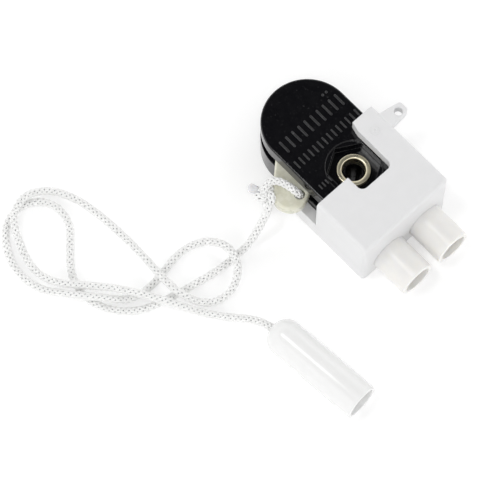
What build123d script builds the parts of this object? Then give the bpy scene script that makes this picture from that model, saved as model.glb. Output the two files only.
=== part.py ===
from build123d import *
import os
from math import atan2, cos, degrees, hypot, pi, radians, sin, tan

# Pull cord switch, in millimetres. +Z is up, away from the flat back that it lies on.
# The origin is on the axis of the threaded nipple, in the plane of the back.
# +X points along the body to the cable sleeves. The pull lever is on the -Y side.

# Switch case: round at the pivot end, square at the wiring end.
CASE_RADIUS = 13.8
PIVOT_X = -19.5
CASE_END_X = 10.0
CASE_WALL = 1.8
CASE_HEIGHT = 18.5
SLOT_BOTTOM = 8.9
SLOT_TOP = 13.7
SLOT_START_ANGLE = -133.0
SLOT_END_X = -0.4
EDGE_ROUND = 0.5
GAP = 0.3
FIT = 0.05

# Threaded nipple in its hexagonal pocket.
NIPPLE_RADIUS = 5.0
NIPPLE_BORE_RADIUS = 3.5
NIPPLE_RIM_DROP = 2.0
NIPPLE_CHAMFER = 0.5
FLANGE_RADIUS = 6.4
FLANGE_THICKNESS = 1.6
POCKET_FLATS = 14.0
POCKET_DEPTH = 3.7
POCKET_WALL = 1.1
LEAD_IN_RADIUS = 8.4
LEAD_IN_DEPTH = 0.5
SEAT_WALL = 1.8
SEAT_BORE_RADIUS = 3.7

# Pivot pin, lever, rotor and pawl.
PIN_RADIUS = 1.5
PIN_SEAT_DEPTH = 1.0
LEVER_THICKNESS = 4.2
LEVER_HUB_RADIUS = 8.5
LEVER_TIP_RADIUS = 5.2
LEVER_TIP_X = -8.2
LEVER_TIP_Y = -17.6
EYE_X = -6.0
EYE_Y = -15.9
EYE_RADIUS = 1.6
ROTOR_TEETH = 10
ROTOR_RADIUS = 8.6
TOOTH_DEPTH = 1.5
ROTOR_HUB_RADIUS = 3.6
ROTOR_BOTTOM = 3.6
ROTOR_DISC_THICKNESS = 2.0
RATCHET_THICKNESS = 2.8
BRIDGE_THICKNESS = 0.6
BRIDGE_RADIUS = 7.6
BRIDGE_RING_RADIUS = 5.0
BRIDGE_WIDTH = 2.6
PAWL_THICKNESS = 1.8
PAWL_PIN_RADIUS = 0.8
PAWL_PIVOT_RADIUS = 9.9
PAWL_PIVOT_ANGLE = -72.0
PAWL_NOSE_ANGLE = -34.8
PAWL_NOSE_WIDTH = 3.0
PAWL_WIDTH = 1.0

# Springs.
RETURN_SPRING_RADIUS = 4.6
RETURN_SPRING_WIRE = 0.6
RETURN_SPRING_TURNS = 3
DETENT_THICKNESS = 0.3
DETENT_HEIGHT = 1.6
DETENT_LENGTH = 9.0

# Contact strips and terminals.
STRIP_Y = 7.7
STRIP_WIDTH = 1.4
STRIP_THICKNESS = 0.6
STRIP_LIFT = 0.5
NEAR_FINGER = 4.1
FAR_FINGER = 6.0
BLOCK_LENGTH = 6.0
BLOCK_WIDTH = 6.4
BLOCK_HEIGHT = 8.0
BLOCK_X = 12.2
WIRE_HOLE_RADIUS = 1.6
SCREW_RADIUS = 1.5
SCREW_HEAD_RADIUS = 2.5
SCREW_HEAD_HEIGHT = 1.8
SLOT_CUT = 0.6

# Screws that close the case from the back.
CASE_SCREW_RADIUS = 1.1
CASE_SCREW_HEAD_RADIUS = 1.9
CASE_SCREW_HEAD_HEIGHT = 1.2
CASE_BOSS_RADIUS = 2.0
CASE_SCREW_Y = 10.45
RECESS_LENGTH = 2.4
RECESS_WIDTH = 0.5
RECESS_DEPTH = 0.6
CASE_SCREW_XS = [(4.4, -1), (4.4, 1), (-8.6, 1)]

# White terminal housing: a base below and a cover above it.
HOUSING_END_X = 22.5
HOUSING_NEAR_Y = -17.2
HOUSING_FAR_Y = 16.0
HOUSING_WALL = 2.0
HOUSING_FLOOR = 1.0
BASE_HEIGHT = 6.5
COVER_TOP = CASE_HEIGHT + 4.0
SIDE_LEDGE_X = -10.0
COVER_FRONT_X = 2.3
ARM_END_X = -9.3
TOP_FILLET = 1.6
CORNER_FILLET = 1.2
NOTCH_NEAR_Y = -4.8
NOTCH_FAR_Y = 7.4
NOTCH_END_X = 8.2
NOTCH_CORNER = 2.0
NOTCH_LIP = 1.5
EAR_X = -6.4
EAR_WIDTH = 5.8
EAR_TIP_WIDTH = 3.6
EAR_REACH = 7.0
EAR_THICKNESS = 3.2
EAR_HOLE_RADIUS = 1.3

# Cable sleeves.
SLEEVE_Y = 7.2
SLEEVE_Z = 6.0
SLEEVE_RADIUS = 5.75
SLEEVE_BORE_RADIUS = 4.4
SLEEVE_REACH = 12.3
SLEEVE_NECK_RADIUS = 4.1
SLEEVE_NECK_BORE = 3.1
SLEEVE_COLLAR_RADIUS = 4.9
SLEEVE_COLLAR_LENGTH = 1.2

# Cord, knots and pull handle.
CORD_DIAMETER = 2.6
LIE = CORD_DIAMETER / 2
OVER = LIE + CORD_DIAMETER + 0.2
KNOT_CENTRE = (-12.4, -23.0, 13.0)
KNOT_RADII = (3.4, 3.0, 3.2)
KNOT_TURN = -43.0
KNOT_LOOP = [(-10.2, -17.0), (-13.8, -18.6), (-13.9, -21.6)]
STRAND_BEND = 1.4
KNOT_LEAD = 3.0
KNOT_GAP = 0.3
BEND_SHARE = 0.45
CORD_END_ANGLE = 199.0
CORD_END_START = 1.6
CORD_END_REACH = 5.8
HANDLE_X = 16.3
HANDLE_Y = -47.8
HANDLE_Z = 5.7
HANDLE_TURN = 4.9
HANDLE_LENGTH = 34.5
HANDLE_MOUTH_RADIUS = 5.7
HANDLE_DOME_RADIUS = 5.6
HANDLE_DOME_LENGTH = 5.0
HANDLE_WALL = 1.1
HANDLE_SHOULDER = 7.0
HANDLE_CORD_HOLE = 1.7
HANDLE_CORD_REACH = 6.9
STOPPER_LENGTH = 5.0
STOPPER_RADIUS = 3.4

# The cord lies on the surface beside the switch. OVER is its height where it passes over itself.
CORD_ROUTE = [
    (-9.0, -25.8, 11.5), (-8.2, -30.2, 6.4), (-7.9, -34.8, 2.0), (-7.9, -39.6, LIE), (-8.2, -45.4, LIE),
    (-9.1, -51.4, LIE), (-10.6, -57.8, LIE), (-12.1, -64.8, LIE), (-14.9, -72.2, LIE), (-20.8, -78.0, LIE),
    (-28.8, -80.8, LIE), (-37.0, -78.6, LIE), (-43.4, -73.0, LIE), (-49.0, -67.8, LIE), (-56.8, -67.2, LIE),
    (-62.6, -72.6, LIE), (-62.6, -80.8, LIE), (-56.6, -86.8, LIE), (-48.6, -89.8, LIE), (-39.8, -88.8, LIE),
    (-31.6, -83.6, OVER), (-25.2, -77.9, OVER), (-19.6, -72.4, LIE), (-17.8, -65.4, LIE), (-18.8, -58.2, LIE),
    (-20.2, -51.2, LIE), (-18.6, -43.8, LIE), (-12.0, -39.5, OVER), (-4.6, -40.9, OVER), (-0.2, -48.0, LIE),
    (-2.2, -55.8, LIE), (-9.2, -60.0, OVER), (-15.8, -60.4, OVER), (-23.6, -60.0, OVER), (-31.4, -59.3, LIE),
    (-39.2, -59.5, LIE), (-47.0, -60.3, LIE), (-54.6, -61.9, LIE), (-61.4, -65.8, LIE), (-64.0, -73.0, OVER),
    (-61.0, -80.0, OVER), (-53.4, -83.6, LIE), (-45.4, -85.9, LIE), (-37.4, -84.6, OVER), (-31.2, -79.0, OVER),
    (-24.8, -73.2, OVER), (-17.2, -68.0, OVER), (-9.2, -63.4, OVER), (-1.8, -58.8, LIE), (4.8, -53.8, LIE),
    (10.6, -49.4, 3.4),
    (HANDLE_X, HANDLE_Y, HANDLE_Z),
    (HANDLE_X + HANDLE_CORD_REACH, HANDLE_Y + HANDLE_CORD_REACH * tan(radians(HANDLE_TURN)), HANDLE_Z),
]

# Heights that follow from the sizes above.
LEVER_BOTTOM = SLOT_BOTTOM + (SLOT_TOP - SLOT_BOTTOM - LEVER_THICKNESS) / 2
LEVER_TOP = LEVER_BOTTOM + LEVER_THICKNESS
LID_INSIDE = CASE_HEIGHT - CASE_WALL
POCKET_FLOOR = CASE_HEIGHT - POCKET_DEPTH
FLANGE_TOP = POCKET_FLOOR - POCKET_WALL
FLANGE_BOTTOM = FLANGE_TOP - FLANGE_THICKNESS
NIPPLE_TOP = CASE_HEIGHT - NIPPLE_RIM_DROP
RATCHET_BOTTOM = ROTOR_BOTTOM + ROTOR_DISC_THICKNESS
STRIP_BOTTOM = CASE_WALL + STRIP_LIFT
SCREW_TOP = CASE_HEIGHT - CASE_WALL - 0.8


def rod(radius, x, y, bottom, top):
    """A cylinder that stands on its end."""
    return Pos(x, y, (bottom + top) / 2) * Cylinder(radius, top - bottom)


def block(x0, x1, y0, y1, z0, z1):
    """A box between two corners."""
    return Pos((x0 + x1) / 2, (y0 + y1) / 2, (z0 + z1) / 2) * Box(x1 - x0, y1 - y0, z1 - z0)


def lying_rod(radius, x0, x1, y, z):
    """A cylinder along X."""
    return Pos((x0 + x1) / 2, y, z) * Rot(0, 90, 0) * Cylinder(radius, x1 - x0)


def prism(points, bottom, top):
    """A straight-sided solid on a closed outline of (x, y) points."""
    return Pos(0, 0, bottom) * extrude(make_face(Polyline(*points, close=True)), top - bottom)


def hexagon(flats, bottom, top):
    """A hexagonal prism on the nipple's axis."""
    return Pos(0, 0, bottom) * extrude(RegularPolygon(flats / 2, 6, major_radius=False), top - bottom)


def case_outline(inset, bottom, top):
    """The case's plan shape, a half round end and a square end, drawn in by an inset."""
    radius = CASE_RADIUS - inset
    end = CASE_END_X - inset
    round_end = CenterArc((PIVOT_X, 0), radius, 90, 180)
    sides = Polyline((PIVOT_X, -radius), (end, -radius), (end, radius), (PIVOT_X, radius))
    return Pos(0, 0, bottom) * extrude(make_face([round_end, sides]), top - bottom)


def slot_cutter(bottom, top):
    """The space that the lever swings through, on the near side of the case."""
    reach = CASE_RADIUS + 4
    inside = round_pivot(CASE_RADIUS - CASE_WALL - 2, SLOT_START_ANGLE)
    edge = round_pivot(reach, SLOT_START_ANGLE)
    corner = (edge[0], -reach)
    return prism([inside, edge, corner, (SLOT_END_X, -reach), (SLOT_END_X, inside[1])], bottom, top)


def round_pivot(radius, angle):
    """(x, y) at a radius from the pivot, at an angle in degrees from +X."""
    return (PIVOT_X + radius * cos(radians(angle)), radius * sin(radians(angle)))


def case_screw_places():
    """(x, y) of each screw that closes the case."""
    return [(x, side * CASE_SCREW_Y) for x, side in CASE_SCREW_XS]


def make_lower_case():
    """Tub with a floor, the wall up to the lid beside the slot, and the seats of what it holds."""
    walls = case_outline(0, 0, SLOT_TOP) - case_outline(CASE_WALL, CASE_WALL, SLOT_TOP + 1)
    tub = walls - slot_cutter(SLOT_BOTTOM, SLOT_TOP + 1)
    tub += rod(SEAT_BORE_RADIUS + SEAT_WALL, 0, 0, CASE_WALL, FLANGE_BOTTOM)
    tub += rod(ROTOR_HUB_RADIUS, PIVOT_X, 0, CASE_WALL, ROTOR_BOTTOM - BRIDGE_THICKNESS - FIT)
    for x, y in case_screw_places():
        tub += rod(CASE_BOSS_RADIUS, x, y, CASE_WALL, SLOT_TOP)
    for x, y in case_screw_places():
        tub -= rod(CASE_SCREW_RADIUS, x, y, -1, SLOT_TOP + 1)
        tub -= rod(CASE_SCREW_HEAD_RADIUS, x, y, -1, CASE_SCREW_HEAD_HEIGHT)
    tub -= rod(SEAT_BORE_RADIUS, 0, 0, CASE_WALL, FLANGE_BOTTOM + 1)
    tub -= rod(PIN_RADIUS, PIVOT_X, 0, PIN_SEAT_DEPTH, SLOT_TOP)
    wire_half = NIPPLE_BORE_RADIUS - 0.7
    tub -= block(0, CASE_END_X + 1, -wire_half, wire_half, CASE_WALL, FLANGE_BOTTOM - 1.2)
    for side in (-1, 1):
        y = side * STRIP_Y
        half = STRIP_WIDTH / 2 + FIT
        tub -= block(CASE_END_X - CASE_WALL - 1, CASE_END_X + 1, y - half, y + half,
                     STRIP_BOTTOM - FIT, STRIP_BOTTOM + STRIP_THICKNESS + FIT)
    detent_x = PIVOT_X - ROTOR_RADIUS - GAP - DETENT_THICKNESS
    for side in (-1, 1):
        y = side * (DETENT_LENGTH / 2 - 0.8)
        tub += block(detent_x - 1.0, detent_x, y - 0.8, y + 0.8, CASE_WALL, RATCHET_BOTTOM + DETENT_HEIGHT)
    return tub


def make_lid():
    """Cap of the case, with the nipple's hexagonal pocket and its round lead-in."""
    cap = case_outline(0, SLOT_TOP, CASE_HEIGHT)
    cap = fillet(cap.edges().group_by(Axis.Z)[-1], EDGE_ROUND)
    cap -= case_outline(CASE_WALL, SLOT_TOP - 1, LID_INSIDE)
    boss_radius = LEAD_IN_RADIUS + 1.2
    boss = rod(boss_radius, 0, 0, FLANGE_TOP, LID_INSIDE)
    cap += boss & block(-boss_radius, CASE_END_X - CASE_WALL, -20, 20, 0, 30)
    cap -= hexagon(POCKET_FLATS, POCKET_FLOOR, CASE_HEIGHT + 1)
    cap -= rod(LEAD_IN_RADIUS, 0, 0, CASE_HEIGHT - LEAD_IN_DEPTH, CASE_HEIGHT + 1)
    cap -= rod(NIPPLE_RADIUS, 0, 0, FLANGE_TOP - 1, CASE_HEIGHT)
    cap += rod(PIN_RADIUS + 1.4, PIVOT_X, 0, LEVER_TOP + GAP, LID_INSIDE)
    cap -= rod(PIN_RADIUS, PIVOT_X, 0, SLOT_TOP - 2, LID_INSIDE)
    for x, y in case_screw_places():
        cap += rod(CASE_BOSS_RADIUS, x, y, SLOT_TOP, LID_INSIDE)
    for x, y in case_screw_places():
        cap -= rod(CASE_SCREW_RADIUS, x, y, SLOT_TOP - 1, SCREW_TOP)
    return cap


def make_nipple():
    """Hollow threaded nipple with the flange that holds it under the pocket's floor."""
    body = rod(NIPPLE_RADIUS, 0, 0, FLANGE_BOTTOM, NIPPLE_TOP)
    body = chamfer(body.edges().group_by(Axis.Z)[-1], NIPPLE_CHAMFER)
    body += rod(FLANGE_RADIUS, 0, 0, FLANGE_BOTTOM, FLANGE_TOP)
    return body - rod(NIPPLE_BORE_RADIUS, 0, 0, FLANGE_BOTTOM - 1, NIPPLE_TOP + 1)


def make_pivot_pin():
    """Steel pin that the rotor and the lever turn on."""
    return rod(PIN_RADIUS, PIVOT_X, 0, PIN_SEAT_DEPTH, LID_INSIDE)


def make_rotor():
    """Indexing rotor: a disc with a saw-toothed ratchet wheel on top of it."""
    points = []
    for tooth in range(ROTOR_TEETH):
        start = radians(360 / ROTOR_TEETH * tooth)
        step = radians(360 / ROTOR_TEETH)
        for share, radius in ((0.0, ROTOR_RADIUS), (0.02, ROTOR_RADIUS - TOOTH_DEPTH),
                              (0.5, ROTOR_RADIUS - TOOTH_DEPTH * 0.6)):
            points.append(round_pivot(radius, degrees(start + share * step)))
    wheel = prism(points, RATCHET_BOTTOM, RATCHET_BOTTOM + RATCHET_THICKNESS)
    rotor = rod(ROTOR_RADIUS, PIVOT_X, 0, ROTOR_BOTTOM, RATCHET_BOTTOM) + wheel
    return rotor - rod(PIN_RADIUS + FIT, PIVOT_X, 0, 0, LEVER_BOTTOM)


def make_contact_bridge():
    """Copper ring with arms, under the rotor. The near finger rubs on the ring, the far one on the arms."""
    top = ROTOR_BOTTOM
    bottom = top - BRIDGE_THICKNESS
    bridge = rod(BRIDGE_RING_RADIUS, PIVOT_X, 0, bottom, top)
    arm = block(0, BRIDGE_RADIUS, -BRIDGE_WIDTH / 2, BRIDGE_WIDTH / 2, bottom, top)
    arms = ROTOR_TEETH // 2
    for index in range(arms):
        bridge += Pos(PIVOT_X, 0, 0) * Rot(0, 0, 90 + 360 / arms * index) * arm
    return bridge - rod(PIN_RADIUS + 0.4, PIVOT_X, 0, bottom - 1, top + 1)


def make_lever():
    """Pull lever: a round hub on the pin that tapers to an eye for the cord."""
    along = atan2(LEVER_TIP_Y, LEVER_TIP_X - PIVOT_X)
    span = hypot(LEVER_TIP_X - PIVOT_X, LEVER_TIP_Y)
    tilt = atan2(LEVER_HUB_RADIUS - LEVER_TIP_RADIUS, span)
    corners = []
    for side in (1, -1):
        angle = along + side * (pi / 2 - tilt)
        hub = (PIVOT_X + LEVER_HUB_RADIUS * cos(angle), LEVER_HUB_RADIUS * sin(angle))
        tip = (LEVER_TIP_X + LEVER_TIP_RADIUS * cos(angle), LEVER_TIP_Y + LEVER_TIP_RADIUS * sin(angle))
        corners += [hub, tip] if side == 1 else [tip, hub]
    lever = prism(corners, LEVER_BOTTOM, LEVER_TOP)
    lever += rod(LEVER_HUB_RADIUS, PIVOT_X, 0, LEVER_BOTTOM, LEVER_TOP)
    lever += rod(LEVER_TIP_RADIUS, LEVER_TIP_X, LEVER_TIP_Y, LEVER_BOTTOM, LEVER_TOP)
    outer = lever.edges().filter_by(GeomType.CIRCLE).filter_by_position(Axis.Y, -40, -12)
    lever = fillet(outer, 0.8)
    lever -= rod(PIN_RADIUS + FIT, PIVOT_X, 0, 0, CASE_HEIGHT)
    lever -= rod(EYE_RADIUS, EYE_X, EYE_Y, 0, CASE_HEIGHT)
    pawl_x, pawl_y = pawl_pivot()
    return lever - rod(PAWL_PIN_RADIUS, pawl_x, pawl_y, LEVER_BOTTOM - 1, LEVER_BOTTOM + 2)


def pawl_pivot():
    """(x, y) of the pawl's pin, which the lever's shoulder carries."""
    return round_pivot(PAWL_PIVOT_RADIUS, PAWL_PIVOT_ANGLE)


def make_pawl():
    """Hook round the edge of the ratchet wheel. Its nose sits behind a tooth and drags it on the pull."""
    x, y = pawl_pivot()
    bottom = RATCHET_BOTTOM + 0.4
    top = bottom + PAWL_THICKNESS
    inner = ROTOR_RADIUS + GAP + 0.1
    outer = inner + PAWL_WIDTH
    valley = ROTOR_RADIUS - TOOTH_DEPTH + GAP + 0.05
    face = PAWL_NOSE_ANGLE
    back = face + PAWL_NOSE_WIDTH
    middle = (face + PAWL_PIVOT_ANGLE) / 2
    places = [(outer + 0.3, PAWL_PIVOT_ANGLE), (outer, middle), (outer - 0.2, back), (valley + 0.15, back),
              (valley, face), (inner, face), (inner, middle), (inner, PAWL_PIVOT_ANGLE)]
    pawl = prism([round_pivot(radius, angle) for radius, angle in places], bottom, top)
    pawl += rod(PAWL_PIN_RADIUS + 0.45, x, y, bottom, top)
    return pawl - rod(PAWL_PIN_RADIUS + FIT, x, y, bottom - 1, top + 1)


def make_pawl_pin():
    """Rivet that hangs the pawl under the lever."""
    x, y = pawl_pivot()
    return rod(PAWL_PIN_RADIUS, x, y, RATCHET_BOTTOM + 0.4, LEVER_BOTTOM + 2)


def make_return_spring():
    """Coil round the lid's boss, which brings the lever back to its stop."""
    wire = RETURN_SPRING_WIRE
    pitch = wire * 1.25
    low = LEVER_TOP + wire / 2 + FIT
    path = Helix(pitch, pitch * RETURN_SPRING_TURNS, RETURN_SPRING_RADIUS)
    section = Plane(path @ 0, z_dir=path % 0) * Circle(wire / 2)
    return Pos(PIVOT_X, 0, low) * sweep(section, path=path)


def make_detent_spring():
    """Leaf beside the rotor that holds it between pulls."""
    x = PIVOT_X - ROTOR_RADIUS - GAP
    low = RATCHET_BOTTOM
    return block(x - DETENT_THICKNESS, x, -DETENT_LENGTH / 2, DETENT_LENGTH / 2, low, low + DETENT_HEIGHT)


def make_contact_strip(side, finger):
    """Brass strip from under the rotor, along the case, to the foot of its terminal block."""
    bottom = STRIP_BOTTOM
    top = bottom + STRIP_THICKNESS
    y0 = side * STRIP_Y - STRIP_WIDTH / 2
    y1 = side * STRIP_Y + STRIP_WIDTH / 2
    strip = block(PIVOT_X - 1.2, BLOCK_X + BLOCK_LENGTH, y0, y1, bottom, top)
    inner = sorted((side * finger, side * STRIP_Y))
    return strip + block(PIVOT_X - 1.2, PIVOT_X + 1.2, inner[0], inner[1], bottom, top)


def make_terminal_block(side):
    """Brass cage with a wire hole along X and a tapped hole for its screw."""
    y = side * STRIP_Y
    bottom = STRIP_BOTTOM + STRIP_THICKNESS
    top = bottom + BLOCK_HEIGHT
    cage = block(BLOCK_X, BLOCK_X + BLOCK_LENGTH, y - BLOCK_WIDTH / 2, y + BLOCK_WIDTH / 2, bottom, top)
    cage = chamfer(cage.edges().group_by(Axis.Z)[-1], 0.3)
    cage -= lying_rod(WIRE_HOLE_RADIUS, BLOCK_X - 1, BLOCK_X + BLOCK_LENGTH + 1, y, SLEEVE_Z - 0.4)
    return cage - rod(SCREW_RADIUS, BLOCK_X + BLOCK_LENGTH / 2, y, SLEEVE_Z, top + 1)


def make_terminal_screws():
    """Slotted cheese-head screws, one in each terminal block."""
    screws = []
    for side in (-1, 1):
        x = BLOCK_X + BLOCK_LENGTH / 2
        y = side * STRIP_Y
        seat = STRIP_BOTTOM + STRIP_THICKNESS + BLOCK_HEIGHT
        shank_low = SLEEVE_Z - 0.4 + WIRE_HOLE_RADIUS
        screw = rod(SCREW_RADIUS, x, y, shank_low, seat)
        screw += rod(SCREW_HEAD_RADIUS, x, y, seat, seat + SCREW_HEAD_HEIGHT)
        half = SLOT_CUT / 2
        top = seat + SCREW_HEAD_HEIGHT
        screws.append(screw - block(x - 3, x + 3, y - half, y + half, top - 0.8, top + 1))
    return Compound(screws)


def make_case_screws():
    """Countersunk-in screws that pull the lid down from the back."""
    screws = []
    for x, y in case_screw_places():
        screw = rod(CASE_SCREW_RADIUS, x, y, CASE_SCREW_HEAD_HEIGHT / 2, SCREW_TOP)
        screw += rod(CASE_SCREW_HEAD_RADIUS, x, y, 0.1, CASE_SCREW_HEAD_HEIGHT)
        long = RECESS_LENGTH / 2
        half = RECESS_WIDTH / 2
        screw -= block(x - long, x + long, y - half, y + half, 0, RECESS_DEPTH)
        screw -= block(x - half, x + half, y - long, y + long, 0, RECESS_DEPTH)
        screws.append(screw)
    return Compound(screws)


def housing_outline(front_near, front_far, bottom, top):
    """The white housing's outer box, stepped where its near and far sides start."""
    mid_y = 0.0
    near = block(front_near, HOUSING_END_X, HOUSING_NEAR_Y, mid_y, bottom, top)
    far = block(front_far, HOUSING_END_X, mid_y, HOUSING_FAR_Y, bottom, top)
    return near + far


def case_envelope():
    """The case with a little room round it, cut out of what wraps it."""
    room = 0.1
    return case_outline(-room, -1, CASE_HEIGHT + room)


def sleeve_holes():
    """The holes in the end wall that the sleeves' necks pass through."""
    holes = []
    for side in (-1, 1):
        x0 = HOUSING_END_X - HOUSING_WALL - 0.5
        holes.append(lying_rod(SLEEVE_NECK_RADIUS, x0, HOUSING_END_X + 1, side * SLEEVE_Y, SLEEVE_Z))
    return holes


def housing_cavity(bottom, top):
    """The wiring room between the case's end and the housing's walls."""
    return block(CASE_END_X - 0.5, HOUSING_END_X - HOUSING_WALL, HOUSING_NEAR_Y + HOUSING_WALL,
                 HOUSING_FAR_Y - HOUSING_WALL, bottom, top)


def make_terminal_base():
    """Lower half of the white housing, with a ledge along each side of the case."""
    base = housing_outline(SIDE_LEDGE_X, ARM_END_X, 0, BASE_HEIGHT)
    corners = base.edges().filter_by(Axis.Z).group_by(Axis.X)[-1]
    base = fillet(corners, CORNER_FILLET)
    base -= case_envelope()
    base -= housing_cavity(HOUSING_FLOOR, BASE_HEIGHT + 1)
    for hole in sleeve_holes():
        base -= hole
    return base


def make_terminal_cover():
    """Upper half of the white housing, notched round the nipple, with an ear on its far side."""
    shell = housing_outline(COVER_FRONT_X, ARM_END_X, BASE_HEIGHT, COVER_TOP)
    shell = fillet(shell.edges().filter_by(Axis.Z).group_by(Axis.X)[-1], CORNER_FILLET)
    top_edges = shell.edges().group_by(Axis.Z)[-1]
    rounded = [e for e in top_edges if e.center().X > HOUSING_END_X - 2 or abs(e.center().Y) > 15]
    shell = fillet(rounded, TOP_FILLET * 0.7)
    shell += make_ear()
    notch = block(ARM_END_X - 5, NOTCH_END_X, NOTCH_NEAR_Y, NOTCH_FAR_Y, CASE_HEIGHT, COVER_TOP + 1)
    notch = fillet(notch.edges().filter_by(Axis.Z).group_by(Axis.X)[-1], NOTCH_CORNER)
    lead = prism([(ARM_END_X - 1, NOTCH_FAR_Y - 1), (ARM_END_X - 1, NOTCH_FAR_Y + 1.0),
                  (ARM_END_X + 3.4, NOTCH_FAR_Y - 0.1)], CASE_HEIGHT, COVER_TOP + 1)
    shell -= notch
    shell -= lead
    shell -= case_envelope()
    shell -= housing_cavity(BASE_HEIGHT - 1, COVER_TOP - HOUSING_WALL)
    near_room = block(COVER_FRONT_X + NOTCH_LIP, CASE_END_X, HOUSING_NEAR_Y + HOUSING_WALL,
                      NOTCH_NEAR_Y - NOTCH_LIP, CASE_HEIGHT, COVER_TOP - HOUSING_WALL)
    shell -= near_room
    for hole in sleeve_holes():
        shell -= hole
    return shell


def make_ear():
    """Flat tapered ear with an eye, in line with the cover's top."""
    z0 = COVER_TOP - EAR_THICKNESS
    z1 = COVER_TOP
    root_y = HOUSING_FAR_Y - 0.8
    tip_y = HOUSING_FAR_Y + EAR_REACH
    x0 = EAR_X
    x1 = EAR_X + EAR_WIDTH
    mid = (x0 + x1) / 2 + 0.6
    half_tip = EAR_TIP_WIDTH / 2
    ear = prism([(x0, root_y), (x1, root_y), (mid + half_tip, tip_y), (mid - half_tip, tip_y)], z0, z1)
    ear = fillet(ear.edges().filter_by(Axis.Z).group_by(Axis.Y)[-1], 1.2)
    ear = fillet(ear.edges().group_by(Axis.Z)[-1], 0.5)
    return ear - rod(EAR_HOLE_RADIUS, mid + 0.2, tip_y - 2.7, z0 - 1, z1 + 1)


def make_cable_sleeve(side):
    """Tube that a cable leaves through. Its neck is held in the end wall by an inner collar."""
    y = side * SLEEVE_Y
    inside = HOUSING_END_X - HOUSING_WALL
    root = HOUSING_END_X
    end = root + SLEEVE_REACH
    tube = lying_rod(SLEEVE_RADIUS, root, end, y, SLEEVE_Z)
    tube = fillet(tube.edges().group_by(Axis.X)[-1], 0.3)
    tube += lying_rod(SLEEVE_NECK_RADIUS, inside, root, y, SLEEVE_Z)
    tube += lying_rod(SLEEVE_COLLAR_RADIUS, inside - SLEEVE_COLLAR_LENGTH, inside, y, SLEEVE_Z)
    tube -= lying_rod(SLEEVE_BORE_RADIUS, root + 1.2, end + 1, y, SLEEVE_Z)
    return tube - lying_rod(SLEEVE_NECK_BORE, inside - 3, root + 2, y, SLEEVE_Z)


def route_radii():
    """The largest bend radius at each inner point of the cord's route."""
    points = [Vector(*p) for p in CORD_ROUTE]
    radii = []
    for before, here, after in zip(points, points[1:], points[2:]):
        run_in = here - before
        run_out = after - here
        half_turn = radians(run_in.get_angle(run_out)) / 2
        radii.append(BEND_SHARE * min(run_in.length, run_out.length) / tan(half_turn))
    return radii


def make_cord():
    """Braided cord as one round tube, in straight runs joined by tangent arcs."""
    path = FilletPolyline(*CORD_ROUTE, radius=route_radii())
    section = Plane(path @ 0, z_dir=path % 0) * Circle(CORD_DIAMETER / 2)
    tube = sweep(section, path=path)
    expected = path.length * pi * (CORD_DIAMETER / 2) ** 2
    print("cord length", round(path.length, 1), "mm")
    print("cord volume", round(tube.volume, 1), "expected", round(expected, 1))
    print("cord radii", [round(r, 1) for r in route_radii()])
    return tube


def knot_lead():
    """Short length of cord between the knot and the start of the free cord."""
    start = Vector(*CORD_ROUTE[0])
    back = (start - Vector(*CORD_ROUTE[1])).normalized()
    section = Plane(start + back * KNOT_GAP, z_dir=back) * Circle(CORD_DIAMETER / 2)
    return extrude(section, KNOT_LEAD)


def make_knot():
    """Knot at the lever's outer edge, with the strand that goes through the lever's eye."""
    x, y, z = KNOT_CENTRE
    lump = Pos(x, y, z) * Rot(0, 0, KNOT_TURN) * scale(Sphere(1), KNOT_RADII)
    over = LEVER_TOP + LIE
    under = LEVER_BOTTOM - LIE
    loop = [(loop_x, loop_y, over) for loop_x, loop_y in KNOT_LOOP]
    strand_path = FilletPolyline((x, y, z - 1.5), (x, y, under), (EYE_X, EYE_Y, under), (EYE_X, EYE_Y, over),
                                 *loop, radius=STRAND_BEND)
    section = Plane(strand_path @ 0, z_dir=strand_path % 0) * Circle(CORD_DIAMETER / 2)
    knot = lump + sweep(section, path=strand_path) + knot_lead()
    return knot - make_lever()


def make_cord_end():
    """Melted end of the cord, standing out of the knot."""
    x, y, z = KNOT_CENTRE
    turn = Rot(0, 0, CORD_END_ANGLE)
    stub = Pos(x, y, z) * turn * lying_rod(CORD_DIAMETER / 2, CORD_END_START, CORD_END_REACH, 0, 0)
    return stub - make_knot()


def handle_place():
    """Where the handle's own axis starts and points, with its X along the handle."""
    return Pos(HANDLE_X, HANDLE_Y, HANDLE_Z) * Rot(0, 0, HANDLE_TURN)


def make_handle():
    """Bullet-shaped pull, domed where the cord enters it and open at the other end."""
    end = HANDLE_LENGTH
    dome = EllipticalCenterArc((HANDLE_DOME_LENGTH, 0), HANDLE_DOME_LENGTH, HANDLE_DOME_RADIUS,
                               start_angle=90, arc_size=90)
    side = Line((HANDLE_DOME_LENGTH, HANDLE_DOME_RADIUS), (end, HANDLE_MOUTH_RADIUS))
    rest = Polyline((end, HANDLE_MOUTH_RADIUS), (end, 0), (0, 0))
    bell = revolve(make_face([dome, side, rest]), Axis.X)
    bore_end = HANDLE_MOUTH_RADIUS - HANDLE_WALL
    bore_start = HANDLE_DOME_RADIUS - HANDLE_WALL
    bore = Polyline((HANDLE_SHOULDER, 0), (HANDLE_SHOULDER, bore_start), (end + 1, bore_end), (end + 1, 0),
                    close=True)
    hollow = revolve(make_face(bore), Axis.X)
    cord_hole = Rot(0, 90, 0) * Cylinder(HANDLE_CORD_HOLE, 30)
    return handle_place() * (bell - hollow - cord_hole)


def make_stopper_knot():
    """Knot inside the handle that it pulls against."""
    centre = HANDLE_SHOULDER + STOPPER_LENGTH / 2
    knot = Pos(centre, 0, 0) * scale(Sphere(1), (STOPPER_LENGTH / 2, STOPPER_RADIUS, STOPPER_RADIUS))
    return handle_place() * knot


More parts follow.
